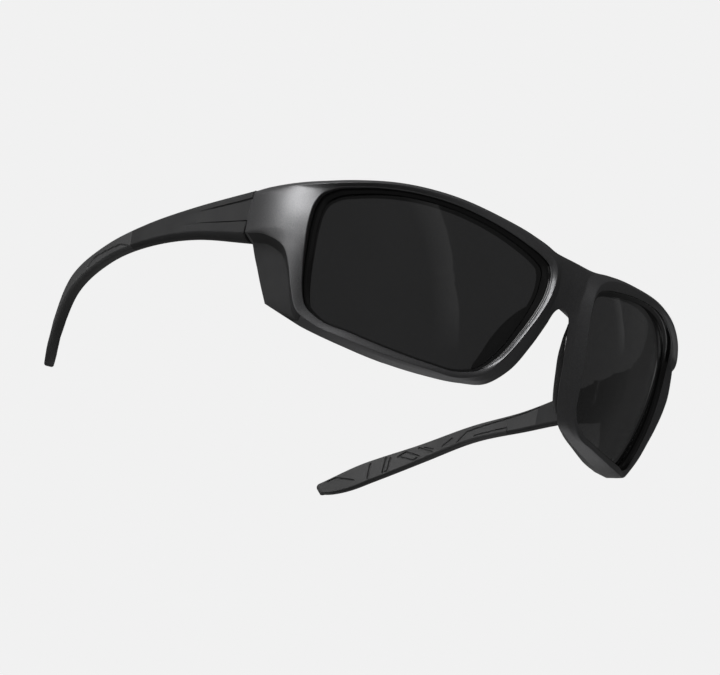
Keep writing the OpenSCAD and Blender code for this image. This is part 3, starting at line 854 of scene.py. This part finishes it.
def make_tip(side, node, body):
    """The soft tip, with moulded slits on its inner face and a groove on its outer face."""
    run = np.arange(run_at(TIP_ROW), run_at(LAST_ROW), FINE_STEP)
    first = temple_profile(TIP_ROW, OUTER_GRID, INNER_GRID)
    last = temple_profile(LAST_ROW, OUTER_GRID, INNER_GRID)
    rows = [temple_section(TIP_ROW, first, 0.04, *TIP_STEP), temple_section(TIP_ROW, first, 0.14)]
    for s in place_at(run[3:]):
        rows.append(temple_section(s, temple_profile(s, OUTER_GRID, INNER_GRID)))
    for shift, wide, tall, low in TIP_END:
        rows.append(temple_section(LAST_ROW, last, shift, wide, tall, low))
    sections = np.array(rows)
    piece = make_mesh(node + "_shell", capped_points(sections),
                      capped_faces(len(rows), sections.shape[1]), side)
    return finish_piece(piece, body, "soft_tip", [rubber], node)


# ---- the pieces ---------------------------------------------------------------------------

make_front()
for side, hand in ((1, "left"), (-1, "right")):
    make_lens(side, hand + "_lens")
    make_nose_pad(side, hand + "_nose_pad")
    make_temple(side, hand + "_temple", hand + "_temple_arm")
    make_tip(side, hand + "_temple_tip", hand + "_temple_arm")
for name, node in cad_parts.items():
    if "hinge" in name:
        node.data.materials.clear()
        node.data.materials.append(screw_steel if "screw" in name else shade_darkened_leaf_steel)

# ---- studio -------------------------------------------------------------------------------

CAMERA_AT = np.array([-888.68, -1036.13, -439.17]) + STAND
CAMERA_FORWARD = Vector((0.596, 0.74867, 0.29029)).normalized()
CAMERA_ROLL = math.radians(13.41)
FOCAL_LENGTH = 281.67
FLOOR_Z = -1.0
FLOOR_HALF = 9
DOME_RADIUS = 8.5
BACKDROP = 0.877
AMBIENT = 0.13
BEHIND = 0.04
GLOW = 0.4
CRISP_EDGE = 0.012
LIGHTS_AIM = Vector((0, 0, 0.02))
# Each band of light: the normal of the plane it starts at, its width and strength, the
# direction of its middle, and the cosines from there between which it fades in.
STREAKS = [((-0.908, 0.084, -0.41), 0.2, 0.22, (-0.23, -0.93, 0.28), (0.75, 0.9)),
           ((-0.103, -0.851, -0.516), 0.1, 0.16, (0.853, -0.362, 0.375), (0.968, 0.988))]


def make_camera():
    data = bpy.data.cameras.new("camera")
    data.lens = FOCAL_LENGTH
    data.sensor_width = 36
    data.sensor_fit = "HORIZONTAL"
    data.clip_end = 50
    camera = link_object("camera", data)
    level = CAMERA_FORWARD.cross(Vector((0, 0, 1))).normalized()
    upright = level.cross(CAMERA_FORWARD)
    right = math.cos(CAMERA_ROLL) * level + math.sin(CAMERA_ROLL) * upright
    up = right.cross(CAMERA_FORWARD)
    turn = Matrix((right, up, -CAMERA_FORWARD)).transposed()
    camera.matrix_world = Matrix.Translation(Vector(CAMERA_AT * MM)) @ turn.to_4x4()
    bpy.context.scene.camera = camera


def link_mesh(name, points, faces):
    mesh = bpy.data.meshes.new(name)
    mesh.from_pydata(points, [], faces)
    return link_object(name, mesh)


def pale_sheet(name, glow):
    """A pale surface with a glow of its own, so that it stays even from every side."""
    material, _, _, shader = new_material(name)
    shader.inputs["Roughness"].default_value = 0.9
    shader.inputs["Specular IOR Level"].default_value = 0
    shader.inputs["Base Color"].default_value = (0.02, 0.02, 0.02, 1)
    shader.inputs["Emission Color"].default_value = (1, 1, 1, 1)
    shader.inputs["Emission Strength"].default_value = glow
    return material


def show_as_backdrop(thing, material):
    """Marks a floor or backdrop: seen directly and through the lenses, but not in reflections."""
    thing.data.materials.append(material)
    thing.visible_glossy = False
    thing.visible_diffuse = False
    thing.visible_shadow = False


def make_floor():
    """A wide pale floor, well under the glasses, which the camera looks up at."""
    corners = ((-1, -1), (1, -1), (1, 1), (-1, 1))
    floor = link_mesh("floor", [(x * FLOOR_HALF, y * FLOOR_HALF, FLOOR_Z) for x, y in corners],
                      [(0, 1, 2, 3)])
    show_as_backdrop(floor, pale_sheet("pale_floor", BACKDROP - 0.05))


def make_backdrop():
    """A pale dome all round, behind whatever side is looked at."""
    points = []
    turns, levels = 48, 13
    for i in range(levels):
        rise = math.radians(-12 + 102 * i / (levels - 1))
        for k in range(turns):
            turn = 2 * math.pi * k / turns
            points.append((DOME_RADIUS * math.cos(rise) * math.cos(turn),
                           DOME_RADIUS * math.cos(rise) * math.sin(turn),
                           DOME_RADIUS * math.sin(rise)))
    faces = [face[::-1] for face in grid_faces(levels, turns)]
    show_as_backdrop(link_mesh("backdrop", points, faces), pale_sheet("pale_backdrop", BACKDROP))


def combine(nodes, links, operation, first, second):
    """One sum or product of two values in a material or the world."""
    node = nodes.new("ShaderNodeMath")
    node.operation = operation
    links.new(first, node.inputs[0])
    links.new(second, node.inputs[1])
    return node.outputs["Value"]


def window_edge(nodes, links, edge, width, strength, middle, ends):
    """A faint band of light with one crisp edge, which the lenses pick up as a streak."""
    coordinates = nodes.new("ShaderNodeTexCoord")
    found = []
    for way in (edge, middle):
        dot = nodes.new("ShaderNodeVectorMath")
        dot.operation = "DOT_PRODUCT"
        dot.inputs[1].default_value = way
        links.new(coordinates.outputs["Generated"], dot.inputs[0])
        found.append(dot.outputs["Value"])
    rise = ramp(nodes, links, found[0], 0, strength, (0, CRISP_EDGE))
    fall = ramp(nodes, links, found[0], 1, 0, (CRISP_EDGE, width))
    near = ramp(nodes, links, found[1], 0, 1, ends)
    return combine(nodes, links, "MULTIPLY", combine(nodes, links, "MULTIPLY", rise, fall), near)


def make_world():
    """Soft light from all round, weaker from behind but for the pale backdrop's own glow."""
    world = bpy.data.worlds.new("studio")
    bpy.context.scene.world = world
    world.use_nodes = True
    nodes, links = world.node_tree.nodes, world.node_tree.links
    background = nodes["Background"]
    coordinates = nodes.new("ShaderNodeTexCoord")
    facing = nodes.new("ShaderNodeVectorMath")
    facing.operation = "DOT_PRODUCT"
    facing.inputs[1].default_value = CAMERA_FORWARD
    links.new(coordinates.outputs["Generated"], facing.inputs[0])
    fade = nodes.new("ShaderNodeMapRange")
    fade.interpolation_type = "SMOOTHSTEP"
    fade.inputs["From Min"].default_value = 0.55
    fade.inputs["From Max"].default_value = 0.95
    fade.inputs["To Min"].default_value = AMBIENT
    fade.inputs["To Max"].default_value = BEHIND
    links.new(facing.outputs["Value"], fade.inputs["Value"])
    glow = ramp(nodes, links, facing.outputs["Value"], 0, GLOW, (0.93, 0.985))
    total = combine(nodes, links, "ADD", fade.outputs["Result"], glow)
    for streak in STREAKS:
        total = combine(nodes, links, "ADD", total, window_edge(nodes, links, *streak))
    links.new(total, background.inputs["Color"])


def add_light(name, direction, distance, size, power):
    """A softbox in a direction from the glasses, aimed back at them."""
    data = bpy.data.lights.new(name, "AREA")
    data.shape = "RECTANGLE"
    data.size, data.size_y = size
    data.energy = power
    light = link_object(name, data)
    way = Vector(direction).normalized()
    light.location = LIGHTS_AIM + way * distance
    light.rotation_euler = way.to_track_quat("Z", "Y").to_euler()


make_camera()
make_floor()
make_backdrop()
make_world()
add_light("key_softbox", (-0.845, -0.05, 0.53), 1.0, (0.55, 0.76), 12)
add_light("fill_softbox", (-0.83, 0.15, -0.5), 1.2, (0.9, 0.7), 2.2)
add_light("low_softbox", (0.6, 0.45, -0.66), 1.1, (0.7, 0.7), 1.0)
bpy.context.scene.view_settings.view_transform = "Standard"
